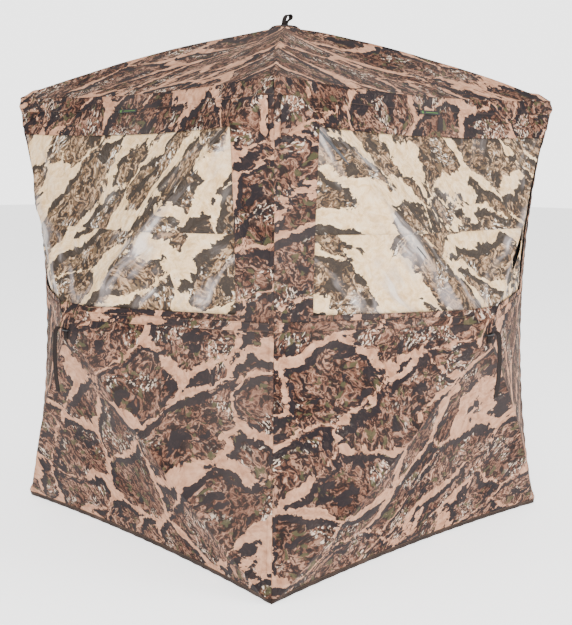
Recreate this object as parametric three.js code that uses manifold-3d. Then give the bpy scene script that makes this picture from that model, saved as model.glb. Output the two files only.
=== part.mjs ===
// A pop-up ground blind: a square fabric cabin with a wall on each side and a roof. A hub at the middle of
// each of the five faces holds four fibreglass poles that spread to the face's corners. Each face is pulled
// out past its corners into a shallow pyramid, which is what keeps the fabric tight.
// Millimetres, +Z up, origin on the ground under the middle of the cabin. The front wall faces -Y.
import * as THREE from "three";
import { mergeVertices } from "three/addons/utils/BufferGeometryUtils.js";
import Module from "manifold-3d";

const wasm = await Module();
wasm.setup();

// Driving dimensions
const SIDE = 1420; // corner to corner along one wall
const WALL_HEIGHT = 1570; // ground to the eave's corners
const WALL_BULGE = 255; // how far a wall's hub stands out from the plane through its corners
const ROOF_RISE = 267; // how far the roof's hub stands above the eave's corners
const WALL_POLE_BOW = 25; // the poles' own bend, outwards
const ROOF_POLE_BOW = 28;
const SEAM_BOW = 57; // how far the fabric's tension draws a corner seam in, at half height
const EAVE_BOW = 25; // the same for the eave, inwards
const EAVE_SAG = 20; // and downwards
const HEM_BOW = 35; // and for the bottom edge
const SKIN = 3; // the fabric, with its folds and coating, as a solid
const GAP = 0.4; // between pieces that touch

const WINDOW = { left: -585, right: 585, bottom: 870, seam: 1120, top: 1430, lap: 12, sideLap: 19, thick: 2.4, recess: 2.2 };
const DOOR_WALL_WINDOW = { ...WINDOW, right: 250 };
const DOOR = { hinge: 612, hingeReach: 610, free: 300, freeReach: 262, tape: 22, play: 4 };
const HEM = { height: 24, proud: 1, thick: 6 };
const POLE = { radius: 5.5, depth: 18, tipRadius: 7.5, tipAt: 0.92, sides: 6, steps: 6 };
const HUB = { radius: 38, bottom: 28, neck: 14, flange: 44, flangeThick: 4.5, fabricHole: 0.04 };
const FORK = { pinAt: 50, pinRadius: 3, pinPlay: 0.35, eye: 8, halfSlot: 6.3, halfEye: 6, ear: 4, earRadius: 9, pinHead: 0.8 };
const BAIL = { halfWidth: 15, bar: 2.4, height: 11 };
const STRAP = { width: 22, thick: 3, drop: 196, eye: 6.4, eyeHole: 3.2 };
const BOOT = { leg: 120, inset: 20, thick: 4, topBelowEave: 25, bottomAboveGround: 8 };

const halfSide = SIDE / 2;
const halfHeight = WALL_HEIGHT / 2;
const squareRings = [HUB.fabricHole, 0.16, 0.33, 0.5, 0.68, 0.85, 1];
const RING_SEGMENTS = 24;

// Materials
const finish = (color, roughness, metalness = 0) =>
  new THREE.MeshStandardMaterial({ color, roughness, metalness });
const looks = {
  shell: () => finish(0xb3907a, 0.95),
  window: () => finish(0xdcc9a0, 0.6),
  hem: () => finish(0x3a2a24, 0.9),
  pole: () => finish(0x26272a, 0.35),
  hub: () => finish(0x1c1c1e, 0.5),
  strap: () => finish(0x231c1a, 0.85),
  boot: () => finish(0x2a2a2c, 0.9),
  zip: () => finish(0x1a1a1c, 0.6),
  slider: () => finish(0x8f8f92, 0.35, 0.8),
};

// Joining and cutting
function solid(geometry) {
  const bare = geometry.index ? geometry.toNonIndexed() : geometry.clone();
  for (const name of Object.keys(bare.attributes)) {
    if (name !== "position") bare.deleteAttribute(name);
  }
  const merged = mergeVertices(bare, 1e-3);
  const mesh = new wasm.Mesh({
    numProp: 3,
    vertProperties: merged.attributes.position.array,
    triVerts: new Uint32Array(merged.index.array),
  });
  return new wasm.Manifold(mesh);
}

function geometryOf(manifold) {
  const mesh = manifold.getMesh();
  const geometry = new THREE.BufferGeometry();
  geometry.setAttribute("position", new THREE.BufferAttribute(mesh.vertProperties, 3));
  geometry.setIndex(new THREE.BufferAttribute(mesh.triVerts, 1));
  const flat = geometry.toNonIndexed();
  flat.computeVertexNormals();
  return flat;
}

const joined = (...geometries) => geometries.map(solid).reduce((whole, part) => whole.add(part));

// A block between two corners
function block(x0, x1, y0, y1, z0, z1) {
  const box = new THREE.BoxGeometry(x1 - x0, y1 - y0, z1 - z0);
  return box.translate((x0 + x1) / 2, (y0 + y1) / 2, (z0 + z1) / 2);
}

// A cylinder whose axis runs along a direction, centred on a point
function rod(radius, length, direction, centre, sides) {
  const turn = new THREE.Quaternion().setFromUnitVectors(new THREE.Vector3(0, 1, 0), direction);
  const cylinder = new THREE.CylinderGeometry(radius, radius, length, sides);
  return cylinder.applyQuaternion(turn).translate(centre.x, centre.y, centre.z);
}

// The shape of a face. u and v run from -1 to 1 between its edges, x and y lie in the plane through its
// corners, and z stands out of it. Both functions give the point a given depth under the outer surface.
const standing = (m, height, bow) => height * (1 - m) + 4 * bow * m * (1 - m);

function wallPoint(u, v, depth) {
  const m = Math.max(Math.abs(u), Math.abs(v));
  const beside = Math.max(u * u - v * v, 0);
  const above = Math.max(v * v - u * u, 0);
  const x = u * (halfSide - depth - GAP / 2) - Math.sign(u) * SEAM_BOW * beside;
  const top = halfHeight - SKIN - GAP;
  const y = v > 0 ? v * top - EAVE_SAG * above : v * halfHeight;
  const drawnIn = SEAM_BOW * beside + (v > 0 ? EAVE_BOW : HEM_BOW) * above;
  return new THREE.Vector3(x, y, standing(m, WALL_BULGE, WALL_POLE_BOW) - drawnIn - depth);
}

function roofPoint(u, v, depth) {
  const m = Math.max(Math.abs(u), Math.abs(v));
  const beside = Math.max(u * u - v * v, 0);
  const above = Math.max(v * v - u * u, 0);
  const x = u * halfSide - Math.sign(u) * EAVE_BOW * beside;
  const y = v * halfSide - Math.sign(v) * EAVE_BOW * above;
  const z = standing(m, ROOF_RISE, ROOF_POLE_BOW) - EAVE_SAG * (beside + above);
  return new THREE.Vector3(x, y, z - depth);
}

// A face's fabric between two depths: a flat washer whose circles are pressed out into squares, so that its
// spokes lie along the face's diagonals, and which is then laid over the face.
function fabric(point, outerDepth, innerDepth) {
  const outer = squareRings.map((m) => new THREE.Vector2(m, 0)).reverse();
  const inner = squareRings.map((m) => new THREE.Vector2(m, 1));
  const washer = new THREE.LatheGeometry([...inner, ...outer, inner[0]], RING_SEGMENTS);
  const at = washer.attributes.position;
  for (let i = 0; i < at.count; i++) {
    const radius = Math.hypot(at.getX(i), at.getZ(i));
    const angle = Math.atan2(at.getX(i), at.getZ(i));
    const [c, s] = [Math.cos(angle), Math.sin(angle)];
    const k = radius / Math.max(Math.abs(c), Math.abs(s));
    const p = point(c * k, s * k, outerDepth + (innerDepth - outerDepth) * at.getY(i));
    at.setXYZ(i, p.x, p.y, p.z);
  }
  return solid(washer);
}

// The straight prism through a face that cuts a panel or an opening out of it
const throughFace = (left, right, bottom, top) =>
  solid(block(left, right, bottom - halfHeight, top - halfHeight, -150, 400));

// The door's outline, a trapezoid, drawn in by a distance on every side
function doorPrism(shrink) {
  const slope = (DOOR.hingeReach - DOOR.freeReach) / (DOOR.hinge - DOOR.free);
  const slant = Math.hypot(1, slope);
  const hinge = DOOR.hinge - shrink;
  const free = DOOR.free + shrink;
  const hingeReach = DOOR.hingeReach - (slant + slope) * shrink;
  const freeReach = DOOR.freeReach - (slant - slope) * shrink;
  const outline = new THREE.Shape([
    new THREE.Vector2(hinge, -hingeReach),
    new THREE.Vector2(hinge, hingeReach),
    new THREE.Vector2(free, freeReach),
    new THREE.Vector2(free, -freeReach),
  ]);
  const prism = new THREE.ExtrudeGeometry(outline, { depth: 500, bevelEnabled: false });
  return solid(prism.translate(0, 0, -150));
}

function wallSkin(window, hasDoor) {
  let skin = fabric(wallPoint, 0, SKIN);
  skin = skin.subtract(throughFace(window.left, window.right, window.bottom, window.top));
  skin = skin.subtract(throughFace(-SIDE, SIDE, -50, HEM.height + GAP));
  return hasDoor ? skin.subtract(doorPrism(-DOOR.tape)) : skin;
}

// A window's panel hangs just inside the wall and laps past the opening's edges
function windowPanel(window, bottom, top) {
  const outer = SKIN + window.recess;
  const sheet = fabric(wallPoint, outer, outer + window.thick);
  return sheet.intersect(throughFace(window.left - window.sideLap, window.right + window.sideLap, bottom, top));
}

const upperPanel = (w) => windowPanel(w, w.seam + GAP / 2, w.top + w.lap);
const lowerPanel = (w) => windowPanel(w, w.bottom - w.lap, w.seam - GAP / 2);

// The hem is a rolled band along the wall's bottom edge, and it is what the blind stands on
function hem() {
  const band = new THREE.BoxGeometry(2, 1, 1, 16, 1, 1);
  const at = band.attributes.position;
  const rise = HEM.height / halfHeight;
  for (let i = 0; i < at.count; i++) {
    const v = -1 + rise * (at.getY(i) + 0.5);
    const p = wallPoint(at.getX(i), v, -HEM.proud + HEM.thick * (0.5 - at.getZ(i)));
    at.setXYZ(i, p.x, p.y, p.z);
  }
  return solid(band);
}

// The door on the back wall: the tape ring that carries the zip, and the leaf inside it
const doorTape = () => fabric(wallPoint, 0, SKIN).intersect(doorPrism(GAP - DOOR.tape)).subtract(doorPrism(0));
const doorLeaf = () => fabric(wallPoint, 0, SKIN).intersect(doorPrism(DOOR.play));

function zipSlider() {
  const proud = wallPoint(DOOR.free / halfSide, DOOR.freeReach / halfHeight, 0).z + 3;
  const top = DOOR.freeReach - 6;
  const body = block(DOOR.free - 7, DOOR.free + 7, top - 18, top, proud, proud + 5);
  const pull = block(DOOR.free - 3.5, DOOR.free + 3.5, top - 52, top - 12, proud + 4, proud + 6.5);
  return joined(body, pull);
}

// The frame of one face: where its pins, poles and hub lie. halfX and halfY are its half sides.
function faceFrame(halfX, halfY, height, bow) {
  const reach = Math.hypot(halfX, halfY);
  const outerSurface = (m) => standing(m, height, bow);
  const polePoint = (direction, m) =>
    direction.clone().multiplyScalar(m * reach).setZ(outerSurface(m) - POLE.depth);
  const rim = outerSurface(HUB.fabricHole);
  return {
    directions: { ur: [1, 1], ul: [-1, 1], ll: [-1, -1], lr: [1, -1] },
    direction: ([sx, sy]) => new THREE.Vector3((sx * halfX) / reach, (sy * halfY) / reach, 0),
    pin: (direction) => polePoint(direction, FORK.pinAt / reach),
    tip: (direction) => polePoint(direction, POLE.tipAt),
    sag: 4 * bow * ((POLE.tipAt - FORK.pinAt / reach) / 2) ** 2,
    flangeUnder: rim + GAP,
    bodyTop: outerSurface(HUB.radius / Math.min(halfX, halfY)) - SKIN - 2 * GAP,
  };
}

const wallFrame = faceFrame(halfSide, halfHeight, WALL_BULGE, WALL_POLE_BOW);
const roofFrame = faceFrame(halfSide, halfSide, ROOF_RISE, ROOF_POLE_BOW);
const pinAxis = (direction) => new THREE.Vector3(0, 0, 1).cross(direction);

// A pole: a fibreglass rod with a round tip, and a knuckle whose eye turns on the hub's pin
function pole(frame, corner) {
  const direction = frame.direction(corner);
  const pin = frame.pin(direction);
  const tip = frame.tip(direction);
  const bend = pin.clone().add(tip).multiplyScalar(0.5);
  bend.z += 2 * frame.sag;
  const path = new THREE.QuadraticBezierCurve3(pin, bend, tip);
  const section = new THREE.Shape().absarc(0, 0, POLE.radius, 0, 2 * Math.PI);
  const shaft = new THREE.ExtrudeGeometry(section, {
    steps: POLE.steps,
    curveSegments: POLE.sides / 2,
    extrudePath: path,
  });
  const ball = new THREE.SphereGeometry(POLE.tipRadius, 6, 4).translate(tip.x, tip.y, tip.z);
  const axis = pinAxis(direction);
  const eye = rod(FORK.eye, 2 * FORK.halfEye, axis, pin, 8);
  const hole = rod(FORK.pinRadius + FORK.pinPlay, 4 * FORK.halfEye, axis, pin, 8);
  return joined(shaft, ball, eye).subtract(solid(hole));
}

// A hub: a moulded body inside the fabric, a neck through it, a flange that clamps it from outside, four
// forks with the pins that the poles turn on, and a bail outside that the pull strap hangs from
function hub(frame) {
  const top = frame.bodyTop;
  const under = frame.flangeUnder;
  const face = under + HUB.flangeThick;
  const profile = [
    [0, top - HUB.bottom],
    [HUB.radius - 8, top - HUB.bottom],
    [HUB.radius, top - HUB.bottom + 8],
    [HUB.radius, top],
    [HUB.neck, top],
    [HUB.neck, under],
    [HUB.flange, under],
    [HUB.flange, face],
    [0, face],
  ].map(([r, z]) => new THREE.Vector2(r, z));
  let body = solid(new THREE.LatheGeometry(profile, 14).rotateX(Math.PI / 2));
  for (const corner of Object.values(frame.directions)) body = body.add(fork(frame, corner));
  return body.add(bail(face));
}

// A fork is two ears with a pin across them, and the pin's heads stand a little proud of the ears
function fork(frame, corner) {
  const direction = frame.direction(corner);
  const pin = frame.pin(direction);
  const axis = pinAxis(direction);
  const outline = new THREE.Shape();
  outline.moveTo(HUB.radius - 10, -FORK.earRadius + 2);
  outline.lineTo(FORK.pinAt, -FORK.earRadius);
  outline.absarc(FORK.pinAt, 0, FORK.earRadius, -Math.PI / 2, Math.PI / 2);
  outline.lineTo(HUB.radius - 10, FORK.earRadius - 2);
  const place = new THREE.Matrix4().makeBasis(direction, new THREE.Vector3(0, 0, 1), axis.clone().negate());
  const ears = [-FORK.halfSlot - FORK.ear, FORK.halfSlot].map((start) => {
    const ear = new THREE.ExtrudeGeometry(outline, { depth: FORK.ear, bevelEnabled: false, curveSegments: 2 });
    return ear.translate(0, 0, start).applyMatrix4(place).translate(0, 0, pin.z);
  });
  const pinLength = 2 * (FORK.halfSlot + FORK.ear + FORK.pinHead);
  return joined(...ears, rod(FORK.pinRadius, pinLength, axis, pin, 6));
}

function bail(face) {
  const bar = new THREE.Vector3(0, 0, face + BAIL.height);
  const across = new THREE.Vector3(1, 0, 0);
  const post = (x) => block(x - 2, x + 2, -BAIL.bar, BAIL.bar, face - 1, bar.z + BAIL.bar);
  return joined(rod(BAIL.bar, 2 * BAIL.halfWidth, across, bar, 6), post(-BAIL.halfWidth), post(BAIL.halfWidth));
}

// A strip of webbing: a line in the (y, z) plane given a thickness, and a width along x
function webbing(points, width) {
  const line = new THREE.CatmullRomCurve3(points.map(([y, z]) => new THREE.Vector3(y, z, 0)));
  const steps = 13;
  const edge = (side) =>
    Array.from({ length: steps + 1 }, (_, i) => {
      const at = line.getPointAt(i / steps);
      const along = line.getTangentAt(i / steps);
      const half = (side * STRAP.thick) / 2;
      return new THREE.Vector2(at.x - along.y * half, at.y + along.x * half);
    });
  const outline = new THREE.Shape([...edge(1), ...edge(-1).reverse()]);
  const strip = new THREE.ExtrudeGeometry(outline, { depth: width, bevelEnabled: false });
  const turned = new THREE.Matrix4().makeBasis(
    new THREE.Vector3(0, 1, 0),
    new THREE.Vector3(0, 0, 1),
    new THREE.Vector3(1, 0, 0),
  );
  return strip.applyMatrix4(turned).translate(-width / 2, 0, 0);
}

// The pull strap turns on the bail: an eye round the bar, and a tail that hangs and hooks up at its end, or
// on the roof a short loop that stands up
function pullStrap(frame, line) {
  const bar = new THREE.Vector3(0, 0, frame.flangeUnder + HUB.flangeThick + BAIL.height);
  const across = new THREE.Vector3(1, 0, 0);
  const eye = solid(rod(STRAP.eye, STRAP.width, across, bar, 8));
  const hole = solid(rod(STRAP.eyeHole, 2 * STRAP.width, across, bar, 8));
  const tail = solid(webbing(line.map(([y, z]) => [y, bar.z + z]), STRAP.width));
  return eye.add(tail).subtract(hole);
}

const hangingLine = [[-4, 0], [-60, 1], [-130, 3], [-STRAP.drop, 10], [-STRAP.drop - 12, 22], [-STRAP.drop + 6, 34], [-STRAP.drop + 34, 36]];
const standingLine = [[0, 4], [6, 18], [10, 32], [2, 40], [-8, 34], [-14, 24], [-22, 20]];

// A boot is the three-cornered patch inside a corner that keeps the pole tips in it
function boot() {
  const corner = halfSide - BOOT.inset;
  const outline = new THREE.Shape();
  outline.moveTo(corner, corner - BOOT.leg);
  outline.lineTo(corner, corner - 10);
  outline.absarc(corner - 10, corner - 10, 10, 0, Math.PI / 2);
  outline.lineTo(corner - BOOT.leg, corner);
  return new THREE.ExtrudeGeometry(outline, { depth: BOOT.thick, bevelEnabled: false, curveSegments: 4 });
}

// Assembly
const blind = new THREE.Group();

function piece(group, name, look, shape) {
  const geometry = shape.isBufferGeometry ? shape : geometryOf(shape);
  const mesh = new THREE.Mesh(geometry, looks[look]());
  mesh.name = name;
  group.add(mesh);
}

// A group whose x runs to the right and y up on a wall seen from outside, with z out of it
function wallGroup(turn) {
  const turned = new THREE.Group();
  turned.rotation.z = turn;
  const upright = new THREE.Group();
  upright.rotation.x = Math.PI / 2;
  upright.position.set(0, -halfSide, halfHeight);
  turned.add(upright);
  blind.add(turned);
  return upright;
}

function faceHardware(group, face, frame, strapLine) {
  piece(group, `hub_${face}`, "hub", hub(frame));
  for (const [corner, signs] of Object.entries(frame.directions)) {
    piece(group, `pole_${face}_${corner}`, "pole", pole(frame, signs));
  }
  piece(group, `pull_strap_${face}`, "strap", pullStrap(frame, strapLine));
}

const walls = [
  { face: "front", turn: 0 },
  { face: "right", turn: Math.PI / 2 },
  { face: "back", turn: Math.PI, door: true },
  { face: "left", turn: -Math.PI / 2 },
];
for (const { face, turn, door } of walls) {
  const group = wallGroup(turn);
  const window = door ? DOOR_WALL_WINDOW : WINDOW;
  piece(group, `wall_${face}`, "shell", wallSkin(window, door));
  piece(group, `window_${face}_upper`, "window", upperPanel(window));
  piece(group, `window_${face}_lower`, "window", lowerPanel(window));
  piece(group, `hem_${face}`, "hem", hem());
  faceHardware(group, face, wallFrame, hangingLine);
  if (door) {
    piece(group, "door_zip_tape", "zip", doorTape());
    piece(group, "door_leaf", "shell", doorLeaf());
    piece(group, "door_zip_slider", "slider", zipSlider());
  }
}

const roofGroup = new THREE.Group();
roofGroup.position.z = WALL_HEIGHT;
blind.add(roofGroup);
piece(roofGroup, "roof", "shell", fabric(roofPoint, 0, SKIN));
faceHardware(roofGroup, "roof", roofFrame, standingLine);

const corners = { front_right: -Math.PI / 2, back_right: 0, back_left: Math.PI / 2, front_left: Math.PI };
for (const [corner, turn] of Object.entries(corners)) {
  const group = new THREE.Group();
  group.rotation.z = turn;
  blind.add(group);
  const top = boot().translate(0, 0, WALL_HEIGHT - BOOT.topBelowEave);
  const bottom = boot().translate(0, 0, BOOT.bottomAboveGround);
  piece(group, `boot_${corner}_top`, "boot", top);
  piece(group, `boot_${corner}_bottom`, "boot", bottom);
}

export default blind;
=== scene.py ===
"""Looks of the pop-up ground blind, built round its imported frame."""

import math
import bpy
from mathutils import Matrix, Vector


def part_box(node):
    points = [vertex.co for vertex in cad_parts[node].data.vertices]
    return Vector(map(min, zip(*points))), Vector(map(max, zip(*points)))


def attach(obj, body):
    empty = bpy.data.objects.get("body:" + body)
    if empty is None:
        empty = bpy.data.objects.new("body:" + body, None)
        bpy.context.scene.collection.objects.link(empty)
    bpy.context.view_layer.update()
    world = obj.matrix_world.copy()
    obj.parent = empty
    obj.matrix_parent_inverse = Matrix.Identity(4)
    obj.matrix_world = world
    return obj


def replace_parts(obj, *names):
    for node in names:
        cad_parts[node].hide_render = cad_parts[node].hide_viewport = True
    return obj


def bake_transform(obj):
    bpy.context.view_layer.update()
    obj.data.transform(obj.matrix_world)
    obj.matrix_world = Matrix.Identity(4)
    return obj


bl_info = {
    "name": "Pop-up ground blind",
    "version": (1, 0, 0),
    "blender": (4, 5, 0),
    "location": "View3D > Sidebar > Blind",
    "description": "Builds the cloth, windows, straps, poles and hubs of a pop-up ground blind",
    "category": "Add Mesh",
}

import bmesh
import bpy
from bpy.props import FloatProperty, FloatVectorProperty, PointerProperty
from mathutils import Matrix, Vector, noise

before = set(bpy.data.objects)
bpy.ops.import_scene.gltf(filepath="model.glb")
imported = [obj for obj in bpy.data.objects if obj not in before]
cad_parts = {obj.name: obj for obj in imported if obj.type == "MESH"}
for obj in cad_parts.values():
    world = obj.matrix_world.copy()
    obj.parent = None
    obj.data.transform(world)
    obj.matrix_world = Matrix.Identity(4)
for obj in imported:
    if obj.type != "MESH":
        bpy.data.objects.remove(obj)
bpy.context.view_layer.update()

# The cabin's own sizes, in metres, from the frame
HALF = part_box("roof")[1].x  # half the distance between corners
ROOF_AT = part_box("roof")[0].z + 0.023  # the eave's corners; the eave sags 20 mm and the cloth is 3 mm
WALL_HALF = ROOF_AT / 2
WALL_REACH = -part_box("wall_front")[0].y - HALF  # the cloth's furthest point out, beside the hub's hole
ROOF_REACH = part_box("roof")[1].z - ROOF_AT
HOLE = 0.04  # the hub's hole, as a share of the face
POLE_BOW = {"wall": 0.025, "roof": 0.028}
MID_DIP = 0.032  # how much less the cloth stands out midway between two poles
SEAM_BOW, EAVE_BOW, EAVE_SAG, HEM_BOW = 0.057, 0.025, 0.020, 0.035
CLOTH = 0.0012
CELL = 0.011
HUB_DEPTH = 0.0318  # from the cloth to the back of a hub's body
COVER_RADIUS = 0.055
WEBBING_THICK = 0.0020
PATCH_THICK = 0.0026
BAIL_STANDS = 0.0159  # from the cloth to the top of the bail's bar
HUB_COVER = 0.046  # radius of the hub's flange under the cloth
FLAT_AT_HUB = 0.07  # the share of the face round the hub; follow works out a point from it that nothing uses

WINDOW_SIDE = 0.585
WINDOW_LOW, WINDOW_SEAM, WINDOW_HIGH = 0.870, 1.120, 1.430
WINDOW_RECESS = 0.0045
DOOR_WALL_WINDOW_END = 0.250
BROW_LAP, BELT_HIGH, BELT_LOW = 1.515, 0.851, 0.822
HEM_HEIGHT = 0.024

WALLS = {"front": 0.0, "right": 90.0, "back": 180.0, "left": -90.0}
FACES = [*WALLS, "roof"]
SECTORS = ("top", "left", "bottom", "right")


def smooth_step(x, low, high):
    t = min(max((x - low) / (high - low), 0.0), 1.0)
    return t * t * (3 - 2 * t)


def smooth_max(a, b, k):
    h = max(k - abs(a - b), 0.0) / k
    return max(a, b) + h * h * k / 4


class Face:
    """One of the cabin's five faces. x runs right and y up as seen from outside, z stands out of it."""

    def __init__(self, name):
        self.name = name
        self.roof = name == "roof"
        self.hub = f"hub_{name}"
        self.half_x = HALF
        self.half_y = HALF if self.roof else WALL_HALF
        self.bow = POLE_BOW["roof" if self.roof else "wall"]
        reach = ROOF_REACH if self.roof else WALL_REACH
        self.rise = (reach - 4 * self.bow * HOLE * (1 - HOLE)) / (1 - HOLE)
        self.seed = 11.3 * FACES.index(name)
        if self.roof:
            self.matrix = Matrix.Translation((0, 0, ROOF_AT))
        else:
            turn = Matrix.Rotation(math.radians(WALLS[name]), 4, "Z")
            upright = Matrix.Rotation(math.pi / 2, 4, "X")
            self.matrix = turn @ Matrix.Translation((0, -HALF, WALL_HALF)) @ upright

    def standing(self, m, between=1.0):
        bow = self.bow - MID_DIP * (1 - between * between)
        return self.rise * (1 - m) + 4 * bow * m * (1 - m)

    def surface(self, x, y, lift=0.0):
        """The cloth's point over the flat cut's (x, y), in the face's own axes."""
        u, v = x / self.half_x, y / self.half_y
        m = max(abs(u), abs(v), 1e-6)
        beside, above = max(u * u - v * v, 0.0), max(v * v - u * u, 0.0)
        z = self.standing(m, min(abs(u), abs(v)) / m)
        z = smooth_max(z, self.cover(math.hypot(x, y)), 0.006)
        if self.roof:
            px = x - math.copysign(EAVE_BOW * beside, u)
            py = y - math.copysign(EAVE_BOW * above, v)
            return Vector((px, py, z - EAVE_SAG * (beside + above) + lift))
        px = u * (HALF + lift) - math.copysign(SEAM_BOW * beside, u)
        py = y - (EAVE_SAG * above if v > 0 else 0.0)
        drawn = SEAM_BOW * beside + (EAVE_BOW if v > 0 else HEM_BOW) * above
        return Vector((px, py, z - drawn + lift))

    def cover(self, r):
        """The cloth where it lies over the hub's flange."""
        top = self.standing(HOLE) + 0.0075
        return top - 0.0006 * (r / HUB_COVER) ** 2 - 0.75 * max(r - HUB_COVER, 0.0)

    def place(self, x, y, lift=0.0):
        return self.matrix @ self.surface(x, y, lift)

    def sector_edge(self, sector):
        return {
            "top": (0, self.half_y),
            "bottom": (0, -self.half_y),
            "left": (-self.half_x, 0),
            "right": (self.half_x, 0),
        }[sector]

    def follow(self, piece, sector):
        """A piece with no sector goes with the cabin's shell; any other is only baked where it lies."""
        if sector is None:
            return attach(piece, "shell")
        ex, ey = self.sector_edge(sector)
        end = self.matrix @ Vector((ex * FLAT_AT_HUB, ey * FLAT_AT_HUB, 0))
        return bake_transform(piece)


FACE = {name: Face(name) for name in FACES}


def ripple(x, y, seed):
    return noise.noise(Vector((x, y, seed)))


def cloth_wrinkle(face, x, y):
    """Tension folds that fan out of the hub and the corners, and a soft unevenness all over."""
    r, angle = math.hypot(x, y), math.atan2(y, x)
    u, v = abs(x) / face.half_x, abs(y) / face.half_y
    m, s = max(u, v), face.seed
    fan = ripple(math.cos(angle) * 5.5, math.sin(angle) * 5.5, s) * 0.0042
    fan *= smooth_step(r, 0.05, 0.16) * math.exp(-((r / 0.42) ** 2))
    cx, cy = face.half_x - abs(x), face.half_y - abs(y)
    cr, ca = math.hypot(cx, cy), math.atan2(cy, cx)
    corner = ripple(ca * 3.4, math.copysign(3, x) + math.copysign(7, y), s) * 0.006
    corner *= smooth_step(cr, 0.02, 0.10) * math.exp(-((cr / 0.34) ** 2))
    soft = ripple(x * 3.1, y * 3.1, s) * 0.0036 + ripple(x * 8.3, y * 8.3, s + 4) * 0.0013
    fine = ripple(x * 24, y * 24, s + 9) * 0.00045
    side, end = (1 - u) * face.half_x, (1 - v) * face.half_y
    pucker = math.sin(y * 95 + 4 * ripple(0.7, y * 5, s)) * 0.0011 * math.exp(-side / 0.022)
    pucker += math.sin(x * 95 + 4 * ripple(x * 5, 0.7, s)) * 0.0011 * math.exp(-end / 0.022)
    tip = 0.007 * math.exp(-(((u - 0.955) * 0.71 / 0.020) ** 2 + ((v - 0.955) * 0.75 / 0.024) ** 2))
    calm = 1 - smooth_step(m, 0.95, 1.0)
    return (fan + corner + soft) * calm + fine * calm + pucker + tip


def window_wrinkle(face, x, y):
    """The window's thinner cloth is slack: long folds along the pole, short ones across its lower edge."""
    s = face.seed + 50
    side = 1 if x >= 0 else -1
    along = (side * x * face.half_x + y * face.half_y) / math.hypot(face.half_x, face.half_y)
    across = (side * x * face.half_y - y * face.half_x) / math.hypot(face.half_x, face.half_y)
    warp = ripple(along * 2.6, across * 2.6, s) * 0.05
    fold = 1 - abs(2 * ripple(along * 1.7, (across + warp) * 13, s + 3 * side))
    long_folds = (fold - 0.62) * 0.0170 * math.exp(-((across / 0.30) ** 2))
    slant = (x * side * 0.8 + (y - 0.085)) * 0.7
    sag = (1 - abs(2 * ripple(slant * 2.2, (x * side - y) * 6.5, s + 17)) - 0.55) * 0.011
    soft = ripple(x * 4.5, y * 4.5, s + 8) * 0.004
    return smooth_max(long_folds + sag + soft, -0.003, 0.004)


# Meshes


def finished(name, bm, materials, smooth=True):
    """A mesh object at the origin from a bmesh that is already in place."""
    mesh = bpy.data.meshes.new(name)
    for f in bm.faces:
        f.smooth = smooth
    bm.to_mesh(mesh)
    bm.free()
    piece = bpy.data.objects.new(name, mesh)
    bpy.context.scene.collection.objects.link(piece)
    for material in materials:
        mesh.materials.append(material)
    return piece


def thicken(piece, thickness, offset=-1.0, inner=None):
    m = piece.modifiers.new("Thickness", "SOLIDIFY")
    m.thickness, m.offset = thickness, offset
    m.use_even_offset = True
    if inner is not None:
        m.material_offset = inner
    return piece


def cut(bm, point, normal, keep_positive=True, both=False):
    bmesh.ops.bisect_plane(
        bm,
        geom=bm.verts[:] + bm.edges[:] + bm.faces[:],
        dist=1e-6,
        plane_co=(point[0], point[1], 0),
        plane_no=(normal[0], normal[1], 0),
        clear_inner=keep_positive and not both,
        clear_outer=not keep_positive and not both,
    )


def flat_cut(x0, x1, y0, y1, cell=CELL):
    """A rectangle of cloth, lying flat, with its cells no longer than cell."""
    bm = bmesh.new()
    nx, ny = max(1, math.ceil((x1 - x0) / cell)), max(1, math.ceil((y1 - y0) / cell))
    to_place = Matrix.Translation(((x0 + x1) / 2, (y0 + y1) / 2, 0)) @ Matrix.Diagonal(
        (x1 - x0, y1 - y0, 1, 1)
    )
    bmesh.ops.create_grid(bm, x_segments=nx, y_segments=ny, size=0.5, matrix=to_place)
    return bm


def keep_sector(bm, face, sector):
    """Only what lies in one of the four triangles between the face's diagonals."""
    a, b = face.half_x, face.half_y
    sides = {
        "right": ((b, -a), (b, a)),
        "left": ((-b, a), (-b, -a)),
        "top": ((-b, a), (b, a)),
        "bottom": ((-b, -a), (b, -a)),
    }[sector]
    for normal in sides:
        cut(bm, (0, 0), normal)
    return bm


def remember_cut(bm):
    """The flat cut's coordinates, in metres, kept as the print's own map."""
    uv = bm.loops.layers.uv.new("cut")
    for f in bm.faces:
        for loop in f.loops:
            loop[uv].uv = loop.vert.co.xy


def lay(bm, face, lift=0.0, wrinkle=cloth_wrinkle):
    for v in bm.verts:
        x, y = v.co.x, v.co.y
        extra = lift(x, y) if callable(lift) else lift
        v.co = face.place(x, y, extra + wrinkle(face, x, y))


def sewn(name, face, sector, bm, materials, lift=0.0, wrinkle=cloth_wrinkle, thickness=CLOTH):
    """Lays a flat cut on the face, gives it its thickness and makes it follow the face."""
    remember_cut(bm)
    lay(bm, face, lift, wrinkle)
    bmesh.ops.recalc_face_normals(bm, faces=bm.faces)
    out = face.matrix.to_3x3() @ Vector((0, 0, 1))
    if sum((f.normal for f in bm.faces), Vector()).dot(out) < 0:
        bmesh.ops.reverse_faces(bm, faces=bm.faces)
    piece = finished(name, bm, materials)
    thicken(piece, thickness, inner=len(materials) - 1)
    return face.follow(piece, sector)


# Shaders


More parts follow.
